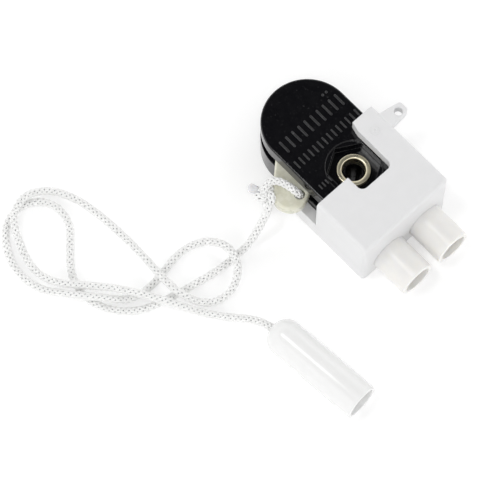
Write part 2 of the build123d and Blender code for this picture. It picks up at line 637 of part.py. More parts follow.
def main():
    os.makedirs("parts", exist_ok=True)
    nodes = {
        "lower_case": make_lower_case(),
        "case_lid": make_lid(),
        "threaded_nipple": make_nipple(),
        "pivot_pin": make_pivot_pin(),
        "ratchet_rotor": make_rotor(),
        "contact_bridge": make_contact_bridge(),
        "pull_lever": make_lever(),
        "drive_pawl": make_pawl(),
        "pawl_pin": make_pawl_pin(),
        "return_spring": make_return_spring(),
        "detent_spring": make_detent_spring(),
        "contact_strip_near": make_contact_strip(-1, NEAR_FINGER),
        "contact_strip_far": make_contact_strip(1, FAR_FINGER),
        "terminal_block_near": make_terminal_block(-1),
        "terminal_block_far": make_terminal_block(1),
        "terminal_screws": make_terminal_screws(),
        "case_screws": make_case_screws(),
        "terminal_base": make_terminal_base(),
        "terminal_cover": make_terminal_cover(),
        "cable_sleeve_near": make_cable_sleeve(-1),
        "cable_sleeve_far": make_cable_sleeve(1),
        "pull_cord": make_cord(),
        "lever_knot": make_knot(),
        "cord_end": make_cord_end(),
        "pull_handle": make_handle(),
        "stopper_knot": make_stopper_knot(),
    }
    for name, shape in nodes.items():
        export_step(shape, f"parts/{name}.step")
        print(name, round(shape.volume, 1))


main()
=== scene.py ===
# %% [markdown]
# # A pull cord lamp switch
# The imported model is the fixed frame that everything else is built round. Pieces could be placed by eye,
# but then nothing would line up with the joints. So the frame is loaded first.

from math import acos, cos, radians, sin, tau

import bmesh
import bpy
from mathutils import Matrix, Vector


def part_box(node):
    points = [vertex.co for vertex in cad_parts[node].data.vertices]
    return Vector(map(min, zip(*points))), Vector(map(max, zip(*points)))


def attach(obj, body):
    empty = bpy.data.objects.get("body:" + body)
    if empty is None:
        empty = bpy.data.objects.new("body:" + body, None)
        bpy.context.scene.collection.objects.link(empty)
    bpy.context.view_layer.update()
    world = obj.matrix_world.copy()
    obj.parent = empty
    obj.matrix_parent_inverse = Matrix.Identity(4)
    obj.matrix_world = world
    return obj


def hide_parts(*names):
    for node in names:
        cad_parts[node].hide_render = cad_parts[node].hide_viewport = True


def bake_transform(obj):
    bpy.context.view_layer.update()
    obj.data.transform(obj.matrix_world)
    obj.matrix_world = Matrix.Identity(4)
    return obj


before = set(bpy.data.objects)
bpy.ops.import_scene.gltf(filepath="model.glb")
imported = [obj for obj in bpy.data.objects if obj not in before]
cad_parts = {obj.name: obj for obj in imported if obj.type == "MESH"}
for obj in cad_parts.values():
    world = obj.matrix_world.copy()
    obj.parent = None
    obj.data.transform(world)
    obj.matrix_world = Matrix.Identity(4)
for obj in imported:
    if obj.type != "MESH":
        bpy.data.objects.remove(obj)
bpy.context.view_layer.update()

# %% Lengths are thought of in millimetres and built in metres
MM = 0.001


def mm(*lengths):
    """Millimetres to metres, as a vector."""
    return Vector([length * MM for length in lengths])


# %% [markdown]
# ## The camera
# A long lens from high up keeps the body's edges parallel. The camera turns round the object so that the
# body runs down the frame from upper left to lower right. It is aimed at a point just above the floor, near
# the middle of the whole object with its cord. A short lens close by would also fit the object in, but its
# parallel edges would draw together, and a flat case would look like a wedge.

# %% Camera
FOCAL_LENGTH = 216.0
SENSOR_WIDTH = 36.0
CAMERA_DISTANCE = 0.872
CAMERA_RISE = radians(69.4)
CAMERA_TURN = radians(46.9)
AIM = mm(-4.7, -36.9, 8.0)

ground_ahead = Vector((-sin(CAMERA_TURN), cos(CAMERA_TURN), 0))
looking = ground_ahead * cos(CAMERA_RISE) - Vector((0, 0, sin(CAMERA_RISE)))
camera_data = bpy.data.cameras.new("studio_camera")
camera_data.lens = FOCAL_LENGTH
camera_data.sensor_width = SENSOR_WIDTH
camera_data.clip_start = 0.01
camera_data.clip_end = 50.0
camera = bpy.data.objects.new("studio_camera", camera_data)
camera.location = AIM - looking * CAMERA_DISTANCE
camera.rotation_euler = looking.to_track_quat("-Z", "Y").to_euler()
bpy.context.scene.collection.objects.link(camera)
bpy.context.scene.camera = camera
print("camera at", [round(x, 3) for x in camera.location])

# %% [markdown]
# ## The cord's route
# The cord is one smooth curve. Its control points are those of the solid model's route: down from the knot
# to the floor, round two loops that lie on the floor, and up into the handle's dome. LIE is the height of
# the cord's centre when it lies on the floor, and OVER its height where it passes over itself.
# A curve of order 3 stays inside its control points, so it never dips under the floor.

# %% Route points
CORD_DIAMETER = 2.6
LIE = CORD_DIAMETER / 2
OVER = LIE + CORD_DIAMETER + 0.2
HANDLE_START = (16.3, -47.8, 5.7)
HANDLE_TURN = radians(4.9)
ROUTE = [
    (-9.0, -25.8, 11.5), (-8.2, -30.2, 6.4), (-7.9, -34.8, 2.0), (-7.9, -39.6, LIE), (-8.2, -45.4, LIE),
    (-9.1, -51.4, LIE), (-10.6, -57.8, LIE), (-12.1, -64.8, LIE), (-14.9, -72.2, LIE), (-20.8, -78.0, LIE),
    (-28.8, -80.8, LIE), (-37.0, -78.6, LIE), (-43.4, -73.0, LIE), (-49.0, -67.8, LIE), (-56.8, -67.2, LIE),
    (-62.6, -72.6, LIE), (-62.6, -80.8, LIE), (-56.6, -86.8, LIE), (-48.6, -89.8, LIE), (-39.8, -88.8, LIE),
    (-31.6, -83.6, OVER), (-25.2, -77.9, OVER), (-19.6, -72.4, LIE), (-17.8, -65.4, LIE), (-18.8, -58.2, LIE),
    (-20.2, -51.2, LIE), (-18.6, -43.8, LIE), (-12.0, -39.5, OVER), (-4.6, -40.9, OVER), (-0.2, -48.0, LIE),
    (-2.2, -55.8, LIE), (-9.2, -60.0, OVER), (-15.8, -60.4, OVER), (-23.6, -60.0, OVER), (-31.4, -59.3, LIE),
    (-39.2, -59.5, LIE), (-47.0, -60.3, LIE), (-54.6, -61.9, LIE), (-61.4, -65.8, LIE), (-64.0, -73.0, OVER),
    (-61.0, -80.0, OVER), (-53.4, -83.6, LIE), (-45.4, -85.9, LIE), (-37.4, -84.6, OVER),
    (-31.2, -79.0, OVER), (-24.8, -73.2, OVER), (-17.2, -68.0, OVER), (-9.2, -63.4, OVER),
    (-1.8, -58.8, LIE), (4.8, -53.8, LIE), (10.6, -49.4, 3.4),
    HANDLE_START, (23.2, -47.21, 5.7),
]
print("route points", len(ROUTE))


# %% A smooth curve through a route's control points
def smooth_curve(name, points):
    """A NURBS curve object with the points, in millimetres, as its control points."""
    data = bpy.data.curves.new(name, "CURVE")
    data.dimensions = "3D"
    data.resolution_u = 24
    spline = data.splines.new("NURBS")
    spline.points.add(len(points) - 1)
    for control, place in zip(spline.points, points):
        control.co = (*mm(*place), 1.0)
    spline.order_u = 3
    spline.use_endpoint_u = True
    curve = bpy.data.objects.new(name, data)
    bpy.context.scene.collection.objects.link(curve)
    return curve


def points_along(curve):
    """The points of a curve with no thickness, in order, in metres."""
    bpy.context.view_layer.update()
    line = bpy.data.meshes.new_from_object(curve)
    points = [v.co.copy() for v in line.vertices]
    bpy.data.meshes.remove(line)
    return points


cord_curve = smooth_curve("cord_route", ROUTE)
cord_line = points_along(cord_curve)
cord_length = sum((b - a).length for a, b in zip(cord_line, cord_line[1:]))
print("cord length", round(cord_length / MM, 1), "mm in", len(cord_line), "points")

# %% [markdown]
# ## The braid
# A braided cord is a set of strands that wind round it, half of them one way and half the other. Each
# strand passes over the next one that it meets and under the one after. Geometry Nodes make it from the
# route: the curve is copied once for each strand, and each copy is pushed out from the centre by an angle
# that turns along the length. The push grows and shrinks in step with the crossings, opposite for the two
# ways of winding, and that is the weave. A plain tube inside stops light from showing through.


# %% Small helpers for node trees
def node(tree, kind, **settings):
    """A new node of that kind, with its properties set."""
    made = tree.nodes.new(kind)
    for name, value in settings.items():
        setattr(made, name, value)
    return made


def join(tree, source, target):
    """Links an output socket to an input socket."""
    tree.links.new(source, target)


def math_node(tree, operation, a, b=None):
    """A Math node on two values, each a number or a socket. Returns its output."""
    made = node(tree, "ShaderNodeMath", operation=operation)
    for index, value in enumerate((a, b)):
        if value is None:
            continue
        if isinstance(value, (int, float)):
            made.inputs[index].default_value = value
        else:
            join(tree, value, made.inputs[index])
    return made.outputs[0]


def vector_node(tree, operation, a, b=None, scale=None):
    """A Vector Math node on sockets. Returns its vector output."""
    made = node(tree, "ShaderNodeVectorMath", operation=operation)
    join(tree, a, made.inputs[0])
    if b is not None:
        join(tree, b, made.inputs[1])
    if scale is not None:
        join(tree, scale, made.inputs["Scale"])
    return made.outputs[0]


# %% The braid's tree
def build_braid_tree():
    """Geometry Nodes that turn a curve into a braid. Lengths are in metres."""
    tree = bpy.data.node_groups.new("braid", "GeometryNodeTree")
    sizes = (("Pitch", 0.0064), ("Weave Radius", 0.00086), ("Weave Rise", 0.00013),
             ("Strand Width", 0.00074), ("Strand Thickness", 0.0006), ("Spacing", 0.00024),
             ("Core Radius", 0.00062))
    tree.interface.new_socket("Geometry", in_out="INPUT", socket_type="NodeSocketGeometry")
    for name, value in sizes:
        socket = tree.interface.new_socket(name, in_out="INPUT", socket_type="NodeSocketFloat")
        socket.default_value = value
    count = tree.interface.new_socket("Strands Each Way", in_out="INPUT", socket_type="NodeSocketInt")
    count.default_value = 4
    tree.interface.new_socket("Material", in_out="INPUT", socket_type="NodeSocketMaterial")
    tree.interface.new_socket("Geometry", in_out="OUTPUT", socket_type="NodeSocketGeometry")
    given = node(tree, "NodeGroupInput").outputs
    result = node(tree, "NodeGroupOutput")

    sampled = node(tree, "GeometryNodeResampleCurve", mode="LENGTH")
    join(tree, given["Geometry"], sampled.inputs["Curve"])
    join(tree, given["Spacing"], sampled.inputs["Length"])

    total = math_node(tree, "MULTIPLY", given["Strands Each Way"], 2)
    copies = node(tree, "GeometryNodeDuplicateElements", domain="SPLINE")
    join(tree, sampled.outputs[0], copies.inputs["Geometry"])
    join(tree, total, copies.inputs["Amount"])

    index = copies.outputs["Duplicate Index"]
    half = math_node(tree, "MODULO", index, 2)
    way = math_node(tree, "SUBTRACT", math_node(tree, "MULTIPLY", half, 2), 1)
    place = math_node(tree, "FLOOR", math_node(tree, "DIVIDE", index, 2))
    along = node(tree, "GeometryNodeSplineParameter").outputs["Length"]
    turn = math_node(tree, "MULTIPLY", math_node(tree, "DIVIDE", along, given["Pitch"]), tau)
    start = math_node(tree, "MULTIPLY", math_node(tree, "DIVIDE", place, given["Strands Each Way"]), tau)
    angle = math_node(tree, "ADD", math_node(tree, "MULTIPLY", way, turn), start)
    wave = math_node(tree, "COSINE", math_node(tree, "MULTIPLY", turn, given["Strands Each Way"]))
    rise = math_node(tree, "MULTIPLY", math_node(tree, "MULTIPLY", wave, way), given["Weave Rise"])
    radius = math_node(tree, "ADD", given["Weave Radius"], rise)

    normal = node(tree, "GeometryNodeInputNormal").outputs["Normal"]
    tangent = node(tree, "GeometryNodeInputTangent").outputs[0]
    across = vector_node(tree, "CROSS_PRODUCT", tangent, normal)
    outward = vector_node(tree, "ADD",
                          vector_node(tree, "SCALE", normal, scale=math_node(tree, "COSINE", angle)),
                          vector_node(tree, "SCALE", across, scale=math_node(tree, "SINE", angle)))
    kept = node(tree, "GeometryNodeCaptureAttribute", domain="POINT")
    kept.capture_items.new("VECTOR", "Outward")
    join(tree, copies.outputs["Geometry"], kept.inputs["Geometry"])
    join(tree, outward, kept.inputs["Outward"])

    marked = node(tree, "GeometryNodeStoreNamedAttribute", data_type="FLOAT", domain="POINT")
    marked.inputs["Name"].default_value = "strand_length"
    join(tree, kept.outputs["Geometry"], marked.inputs["Geometry"])
    join(tree, along, marked.inputs["Value"])

    pushed = node(tree, "GeometryNodeSetPosition")
    join(tree, marked.outputs[0], pushed.inputs["Geometry"])
    join(tree, vector_node(tree, "SCALE", kept.outputs["Outward"], scale=radius), pushed.inputs["Offset"])

    faced = node(tree, "GeometryNodeSetCurveNormal", mode="FREE")
    join(tree, pushed.outputs[0], faced.inputs["Curve"])
    join(tree, kept.outputs["Outward"], faced.inputs["Normal"])

    section = node(tree, "GeometryNodeCurvePrimitiveCircle")
    section.inputs["Resolution"].default_value = 7
    section.inputs["Radius"].default_value = 0.5
    size = node(tree, "ShaderNodeCombineXYZ")
    join(tree, given["Strand Thickness"], size.inputs["X"])
    join(tree, given["Strand Width"], size.inputs["Y"])
    shaped = node(tree, "GeometryNodeTransform")
    join(tree, section.outputs[0], shaped.inputs["Geometry"])
    join(tree, size.outputs[0], shaped.inputs["Scale"])
    around = node(tree, "GeometryNodeStoreNamedAttribute", data_type="FLOAT_VECTOR", domain="POINT")
    around.inputs["Name"].default_value = "strand_around"
    unit = vector_node(tree, "NORMALIZE", node(tree, "GeometryNodeInputPosition").outputs[0])
    join(tree, shaped.outputs[0], around.inputs["Geometry"])
    join(tree, unit, around.inputs["Value"])

    strands = node(tree, "GeometryNodeCurveToMesh")
    strands.inputs["Fill Caps"].default_value = True
    join(tree, faced.outputs[0], strands.inputs["Curve"])
    join(tree, around.outputs[0], strands.inputs["Profile Curve"])

    coarse = node(tree, "GeometryNodeResampleCurve", mode="LENGTH")
    coarse.inputs["Length"].default_value = 0.0012
    join(tree, given["Geometry"], coarse.inputs["Curve"])
    core_section = node(tree, "GeometryNodeCurvePrimitiveCircle")
    core_section.inputs["Resolution"].default_value = 10
    join(tree, given["Core Radius"], core_section.inputs["Radius"])
    core = node(tree, "GeometryNodeCurveToMesh")
    core.inputs["Fill Caps"].default_value = True
    join(tree, coarse.outputs[0], core.inputs["Curve"])
    join(tree, core_section.outputs[0], core.inputs["Profile Curve"])

    both = node(tree, "GeometryNodeJoinGeometry")
    join(tree, strands.outputs[0], both.inputs[0])
    join(tree, core.outputs[0], both.inputs[0])
    smooth = node(tree, "GeometryNodeSetShadeSmooth")
    join(tree, both.outputs[0], smooth.inputs["Geometry"])
    real = node(tree, "GeometryNodeRealizeInstances")
    join(tree, smooth.outputs[0], real.inputs["Geometry"])
    painted = node(tree, "GeometryNodeSetMaterial")
    join(tree, real.outputs[0], painted.inputs["Geometry"])
    join(tree, given["Material"], painted.inputs["Material"])
    join(tree, painted.outputs[0], result.inputs[0])
    return tree


braid_tree = build_braid_tree()
print("braid tree has", len(braid_tree.nodes), "nodes")


# %% Using a tree on a piece
def run_tree(source, tree, name, **values):
    """Runs a Geometry Nodes tree on an object, with named inputs, and returns the result as a plain mesh."""
    modifier = source.modifiers.new(tree.name, "NODES")
    modifier.node_group = tree
    sockets = {item.name: item.identifier for item in tree.interface.items_tree if item.in_out == "INPUT"}
    for label, value in values.items():
        modifier[sockets[label.replace("_", " ")]] = value
    bpy.context.view_layer.update()
    evaluated = source.evaluated_get(bpy.context.evaluated_depsgraph_get())
    mesh = bpy.data.meshes.new_from_object(evaluated)
    source.modifiers.remove(modifier)
    mesh.name = name
    piece = bpy.data.objects.new(name, mesh)
    bpy.context.scene.collection.objects.link(piece)
    return piece


def triangles(piece):
    """How many triangles a piece has."""
    piece.data.calc_loop_triangles()
    return len(piece.data.loop_triangles)


# %% [markdown]
# ## Materials: effects that several finishes share
# Moulded plastic is never quite even. It has a very fine grain from the mould, slow waves where it shrank,
# specks of dust, and edges that are never perfectly sharp. Each finish could hold its own copy of these
# nodes, but then a change has to be made in every one. They are built once, as node groups that put out a
# mask, a height or a normal, and the shader itself stays in each material.


# %% Moulded grain
def shader_group(name, inputs, outputs):
    """An empty shader group with float inputs and outputs. Returns it with its two end nodes."""
    tree = bpy.data.node_groups.new(name, "ShaderNodeTree")
    for label, value in inputs:
        socket = tree.interface.new_socket(label, in_out="INPUT", socket_type="NodeSocketFloat")
        socket.default_value = value
    for label in outputs:
        tree.interface.new_socket(label, in_out="OUTPUT", socket_type="NodeSocketFloat")
    return tree, node(tree, "NodeGroupInput"), node(tree, "NodeGroupOutput")


def noise(tree, scale, detail, place=None):
    """A Noise Texture on Object coordinates. Returns its value output."""
    texture = node(tree, "ShaderNodeTexNoise")
    texture.inputs["Detail"].default_value = detail
    if isinstance(scale, (int, float)):
        texture.inputs["Scale"].default_value = scale
    else:
        join(tree, scale, texture.inputs["Scale"])
    if place is None:
        place = node(tree, "ShaderNodeTexCoord").outputs["Object"]
    join(tree, place, texture.inputs["Vector"])
    return texture.outputs[0]


def build_moulded_grain():
    """Fine mould grain on slow sink waves. Puts out a height and a blotch mask from 0 to 1."""
    tree, given, result = shader_group("moulded_grain", [("Grain Scale", 3500.0), ("Wave Share", 0.4)],
                                       ["Height", "Blotch"])
    fine = noise(tree, given.outputs["Grain Scale"], 2.0)
    slow = noise(tree, 130.0, 3.0)
    waves = math_node(tree, "MULTIPLY", slow, given.outputs["Wave Share"])
    join(tree, math_node(tree, "ADD", fine, waves), result.inputs["Height"])
    middle = noise(tree, 420.0, 4.0)
    spread = math_node(tree, "MULTIPLY", math_node(tree, "SUBTRACT", middle, 0.35), 2.6)
    blotch = math_node(tree, "MINIMUM", math_node(tree, "MAXIMUM", spread, 0.0), 1.0)
    join(tree, blotch, result.inputs["Blotch"])
    return tree


def build_handling_dust():
    """Specks of dust that lie mostly on faces that look up. Puts out a mask from 0 to 1."""
    tree, given, result = shader_group("handling_dust", [("Amount", 0.3), ("Speck Scale", 1400.0)], ["Mask"])
    specks = noise(tree, given.outputs["Speck Scale"], 1.0)
    patches = noise(tree, 160.0, 3.0)
    sharp = math_node(tree, "MULTIPLY", math_node(tree, "SUBTRACT", specks, 0.64), 9.0)
    sparse = math_node(tree, "MULTIPLY", math_node(tree, "MAXIMUM", sharp, 0.0), patches)
    facing = node(tree, "ShaderNodeSeparateXYZ")
    join(tree, node(tree, "ShaderNodeNewGeometry").outputs["Normal"], facing.inputs[0])
    up = math_node(tree, "MAXIMUM", facing.outputs["Z"], 0.15)
    mask = math_node(tree, "MULTIPLY", math_node(tree, "MULTIPLY", sparse, up), given.outputs["Amount"])
    join(tree, math_node(tree, "MINIMUM", mask, 1.0), result.inputs["Mask"])
    return tree


def build_soft_edges():
    """Rounds sharp edges in the shading only, so that they catch a line of light. Puts out a normal."""
    tree = bpy.data.node_groups.new("soft_edges", "ShaderNodeTree")
    tree.interface.new_socket("Radius", in_out="INPUT", socket_type="NodeSocketFloat").default_value = 0.0003
    tree.interface.new_socket("Normal", in_out="OUTPUT", socket_type="NodeSocketVector")
    rounding = node(tree, "ShaderNodeBevel", samples=8)
    join(tree, node(tree, "NodeGroupInput").outputs["Radius"], rounding.inputs["Radius"])
    join(tree, rounding.outputs["Normal"], node(tree, "NodeGroupOutput").inputs["Normal"])
    return tree


moulded_grain = build_moulded_grain()
handling_dust = build_handling_dust()
soft_edges = build_soft_edges()
print("shared groups", moulded_grain.name, handling_dust.name, soft_edges.name)


# %% Parts of a material
PLASTIC_IOR = 1.5
GRAIN_STRENGTH = 0.25


def new_material(name):
    """A material with an empty Principled shader. Returns the material, its tree and the shader."""
    material = bpy.data.materials.new(name)
    material.use_nodes = True
    tree = material.node_tree
    shader = next(n for n in tree.nodes if n.type == "BSDF_PRINCIPLED")
    return material, tree, shader


def place_group(tree, group, **values):
    """Places a shared group in a material, with its own values. Returns its outputs."""
    made = node(tree, "ShaderNodeGroup")
    made.node_tree = group
    for label, value in values.items():
        made.inputs[label.replace("_", " ")].default_value = value
    return made.outputs


def mix_colours(tree, mask, first, second):
    """A colour that goes from first to second as the mask goes from 0 to 1."""
    mix = node(tree, "ShaderNodeMix", data_type="RGBA")
    join(tree, mask, mix.inputs["Factor"])
    for socket, colour in ((mix.inputs["A"], first), (mix.inputs["B"], second)):
        if isinstance(colour, tuple):
            socket.default_value = (*colour, 1.0)
        else:
            join(tree, colour, socket)
    return mix.outputs["Result"]


def between(tree, mask, low, high):
    """A value that goes from low to high as the mask goes from 0 to 1."""
    made = node(tree, "ShaderNodeMapRange")
    made.inputs["To Min"].default_value = low
    made.inputs["To Max"].default_value = high
    join(tree, mask, made.inputs["Value"])
    return made.outputs["Result"]


def bump(tree, height, strength, distance, edge=0.0):
    """A Bump node on a height, over edges rounded by a radius if one is given. Returns its normal."""
    made = node(tree, "ShaderNodeBump")
    if edge:
        join(tree, place_group(tree, soft_edges, Radius=edge)["Normal"], made.inputs["Normal"])
    made.inputs["Strength"].default_value = strength
    made.inputs["Distance"].default_value = distance
    join(tree, height, made.inputs["Height"])
    return made.outputs["Normal"]


def moulded(name, colour, second, roughness, dust, grain=3500.0, depth=0.00002, subsurface=0.0, edge=0.0):
    """A moulded plastic: even colour with a slow blotch, mould grain in the bump, and a little dust."""
    material, tree, shader = new_material(name)
    surface = place_group(tree, moulded_grain, Grain_Scale=grain)
    specks = place_group(tree, handling_dust, Amount=dust)
    base = mix_colours(tree, surface["Blotch"], colour, second)
    dusty = tuple(min(1.0, c * 0.5 + 0.4) for c in colour)
    join(tree, mix_colours(tree, specks["Mask"], base, dusty), shader.inputs["Base Color"])
    join(tree, between(tree, surface["Blotch"], *roughness), shader.inputs["Roughness"])
    join(tree, bump(tree, surface["Height"], GRAIN_STRENGTH, depth, edge), shader.inputs["Normal"])
    shader.inputs["IOR"].default_value = PLASTIC_IOR
    if subsurface:
        shader.inputs["Subsurface Weight"].default_value = subsurface
        shader.inputs["Subsurface Radius"].default_value = (1.0, 0.9, 0.7)
        shader.inputs["Subsurface Scale"].default_value = 0.002
    return material


# %% [markdown]
# ## Plastics
# The case is a hard glossy black, almost a mirror at a glancing angle. The terminal housing is a satin
# white, its sleeves a little warmer, and the handle a shinier white. The lever is natural nylon, cream and
# slightly see-through. A plain grey value would do for each, but two near colours that drift in patches
# keep a large flat face from looking computed, and a little subsurface light gives the nylon its depth.

# %% Plastics
glossy_black = moulded("glossy_black", (0.003, 0.003, 0.004), (0.0045, 0.0045, 0.0055), (0.10, 0.17),
                       grain=2600.0, dust=0.05, depth=0.000012, edge=0.00035)
worn_black = moulded("worn_black", (0.012, 0.012, 0.013), (0.02, 0.02, 0.022), (0.28, 0.4), grain=2600.0,
                     dust=0.2, depth=0.000012)
satin_white = moulded("satin_white", (0.705, 0.705, 0.71), (0.72, 0.72, 0.725), (0.34, 0.40), dust=0.05,
                      edge=0.0004)
warm_white = moulded("warm_white", (0.79, 0.78, 0.76), (0.81, 0.80, 0.78), (0.30, 0.36), dust=0.05,
                     subsurface=0.3, edge=0.0003)
handle_white = moulded("handle_white", (0.785, 0.785, 0.78), (0.80, 0.80, 0.795), (0.19, 0.25), dust=0.05)
cream_nylon = moulded("cream_nylon", (0.66, 0.65, 0.53), (0.72, 0.71, 0.61), (0.22, 0.36), grain=1800.0,
                      dust=0.1, subsurface=0.3, edge=0.0005)
rotor_nylon = moulded("rotor_nylon", (0.55, 0.52, 0.42), (0.62, 0.59, 0.49), (0.35, 0.5), dust=0.6)
melted_end = moulded("melted_end", (0.62, 0.62, 0.64), (0.74, 0.74, 0.76), (0.15, 0.35), grain=1500.0,
                     dust=0.1, subsurface=0.5)
print("plastics", len(bpy.data.materials))


# %% [markdown]
# ## Metals
# The nipple is turned brass. A lathe leaves very fine rings round its axis, so its bump is made of rings
# and not of plain noise. The pins, springs and screws are bright zinc-plated steel and the contacts are
# rolled sheet, with a tarnish that comes in patches. One function makes all four, because metals differ
# in colour and polish and not in how they are built.

# %% Metals
def metal(name, colour, tarnish, roughness, rings=0.0, depth=0.00001):
    """A metal with patches of tarnish. Rings, if given, is how many lathe lines there are in a metre."""
    material, tree, shader = new_material(name)
    surface = place_group(tree, moulded_grain, Grain_Scale=2400.0)
    join(tree, mix_colours(tree, surface["Blotch"], colour, tarnish), shader.inputs["Base Color"])
    join(tree, between(tree, surface["Blotch"], *roughness), shader.inputs["Roughness"])
    height = surface["Height"]
    if rings:
        place = node(tree, "ShaderNodeTexCoord").outputs["Object"]
        flat = node(tree, "ShaderNodeVectorMath", operation="MULTIPLY")
        flat.inputs[1].default_value = (1.0, 1.0, 0.35)
        join(tree, place, flat.inputs[0])
        distance = node(tree, "ShaderNodeVectorMath", operation="LENGTH")
        join(tree, flat.outputs[0], distance.inputs[0])
        wave = math_node(tree, "SINE", math_node(tree, "MULTIPLY", distance.outputs["Value"], rings * tau))
        height = math_node(tree, "ADD", math_node(tree, "MULTIPLY", wave, 0.5), surface["Height"])
    join(tree, bump(tree, height, 0.3, depth), shader.inputs["Normal"])
    shader.inputs["Metallic"].default_value = 1.0
    return material


turned_brass = metal("turned_brass", (0.90, 0.84, 0.64), (0.82, 0.75, 0.54), (0.26, 0.38), rings=6000.0)
plated_steel = metal("plated_steel", (0.62, 0.62, 0.64), (0.5, 0.5, 0.52), (0.22, 0.36))
sheet_brass = metal("sheet_brass", (0.72, 0.58, 0.30), (0.55, 0.42, 0.2), (0.3, 0.45))
sheet_copper = metal("sheet_copper", (0.80, 0.42, 0.27), (0.55, 0.28, 0.18), (0.3, 0.45))
print("metals", [m.name for m in (turned_brass, plated_steel, sheet_brass, sheet_copper)])


# %% [markdown]
# ## The cord's fibre
# Each strand is a flat bundle of smooth white filaments. Modelling every filament would take millions of
# faces. The braid's tree stored how far along and where round each strand a point is, so the noise here is
# stretched along the strand instead, and that reads as fibre.

# %% Fibre
# Painted shade: the core's darker grey stands in for the shade in the gaps between the braid's strands.
CORE_PAINTED_SHADE = (0.42, 0.42, 0.43)


def build_fibre():
    """Filament yarn streaked along the strand; the grey core is painted shade in the braid's gaps."""
    material, tree, shader = new_material("cord_fibre")
    along = node(tree, "ShaderNodeAttribute", attribute_name="strand_length").outputs["Fac"]
    around = node(tree, "ShaderNodeAttribute", attribute_name="strand_around").outputs["Vector"]
    lengthwise = node(tree, "ShaderNodeCombineXYZ")
    join(tree, math_node(tree, "MULTIPLY", along, 420.0), lengthwise.inputs["Z"])
    place = vector_node(tree, "ADD", around, lengthwise.outputs[0])
    streaks = noise(tree, 5.0, 3.0, place)
    fuzz = noise(tree, 4200.0, 2.0)
    on_strand = node(tree, "ShaderNodeVectorMath", operation="LENGTH")
    join(tree, around, on_strand.inputs[0])
    yarn = mix_colours(tree, streaks, (0.84, 0.84, 0.83), (0.97, 0.97, 0.96))
    # The core, where strand_around is missing, gets the darker grey: painted shade in the gaps between the
    # strands.
    whole = mix_colours(tree, on_strand.outputs["Value"], CORE_PAINTED_SHADE, yarn)
    join(tree, whole, shader.inputs["Base Color"])
    join(tree, between(tree, fuzz, 0.4, 0.62), shader.inputs["Roughness"])
    height = math_node(tree, "ADD", streaks, math_node(tree, "MULTIPLY", fuzz, 0.4))
    join(tree, bump(tree, height, 0.5, 0.00006), shader.inputs["Normal"])
    shader.inputs["Sheen Weight"].default_value = 0.25
    shader.inputs["Subsurface Weight"].default_value = 0.15
    shader.inputs["Subsurface Radius"].default_value = (1.0, 1.0, 1.0)
    shader.inputs["Subsurface Scale"].default_value = 0.0006
    return material


cord_fibre = build_fibre()
print("materials", len(bpy.data.materials))

# %% [markdown]
# ## The cord
# The route's curve goes through the braid's tree and comes out as a mesh. A bevelled curve would be a
# smooth tube, and a braid painted on a tube has no outline of its own, so real strands were chosen.

# %% Braid the cord
cord = run_tree(cord_curve, braid_tree, "braided_cord", Material=cord_fibre)
bpy.data.objects.remove(cord_curve)
print("cord triangles", triangles(cord))


# %% [markdown]
# ## Turned and round pieces
# The handle and the nipple are round about an axis. A Screw modifier could sweep them, but it turns every
# point by the same rule. Here each is drawn as half of its section, a closed loop of points, and swept
# round in steps, and a function of the angle may change the radius, so that a thread can climb.

# %% Sweep a section round an axis
def turned(name, section, origin, direction, steps=96, ripple=None):
    """A closed mesh swept round an axis. The section is a loop of (distance along, radius), in millimetres.
    ripple(along, radius, angle) gives a change of radius, if given."""
    data = bpy.data.meshes.new(name)
    shape = bmesh.new()
    axis = Vector(direction).normalized()
    side = axis.orthogonal().normalized()
    other = axis.cross(side)
    rings = []
    for step in range(steps):
        angle = tau * step / steps
        outward = side * cos(angle) + other * sin(angle)
        ring = []
        for along, radius in section:
            change = ripple(along, radius, angle) if ripple else 0.0
            place = Vector(origin) + axis * along * MM + outward * (radius + change) * MM
            ring.append(shape.verts.new(place))
        rings.append(ring)
    count = len(section)
    for step in range(steps):
        here = rings[step]
        following = rings[(step + 1) % steps]
        for i in range(count):
            j = (i + 1) % count
            shape.faces.new((here[i], here[j], following[j], following[i]))
    bmesh.ops.recalc_face_normals(shape, faces=shape.faces)
    shape.to_mesh(data)
    shape.free()
    for face in data.polygons:
        face.use_smooth = True
    piece = bpy.data.objects.new(name, data)
    bpy.context.scene.collection.objects.link(piece)
    return piece


def arc(centre, radius, start, end, steps):
    """Points (along, radius) on an arc about a centre, from one angle in degrees to another."""
    angles = [radians(start + (end - start) * i / steps) for i in range(steps + 1)]
    return [(centre[0] + radius * cos(a), centre[1] + radius * sin(a)) for a in angles]


# %% [markdown]
# ## The pull handle
# The handle is a hollow plastic bullet: a dome with a hole for the cord, a straight side that widens very
# slightly so that it leaves its mould, and an open mouth with a rounded lip. A cylinder with a smoothed end
# would look alike from the side, but only a real wall shows the hollow mouth and lets the knot sit inside.

# %% Pull handle
HANDLE_LENGTH = 34.5
DOME_LENGTH = 5.0
DOME_RADIUS = 5.6
MOUTH_RADIUS = 5.7
CORD_HOLE = 1.7
WALL = 1.1
SHOULDER = 7.0
RIM = 0.35


def dome(steps):
    """The dome's outline from the cord hole's edge to the straight side."""
    first = acos(min(1.0, CORD_HOLE / DOME_RADIUS))
    points = []
    for i in range(steps + 1):
        a = first * (1 - i / steps)
        points.append((DOME_LENGTH * (1 - sin(a)), DOME_RADIUS * cos(a)))
    return points


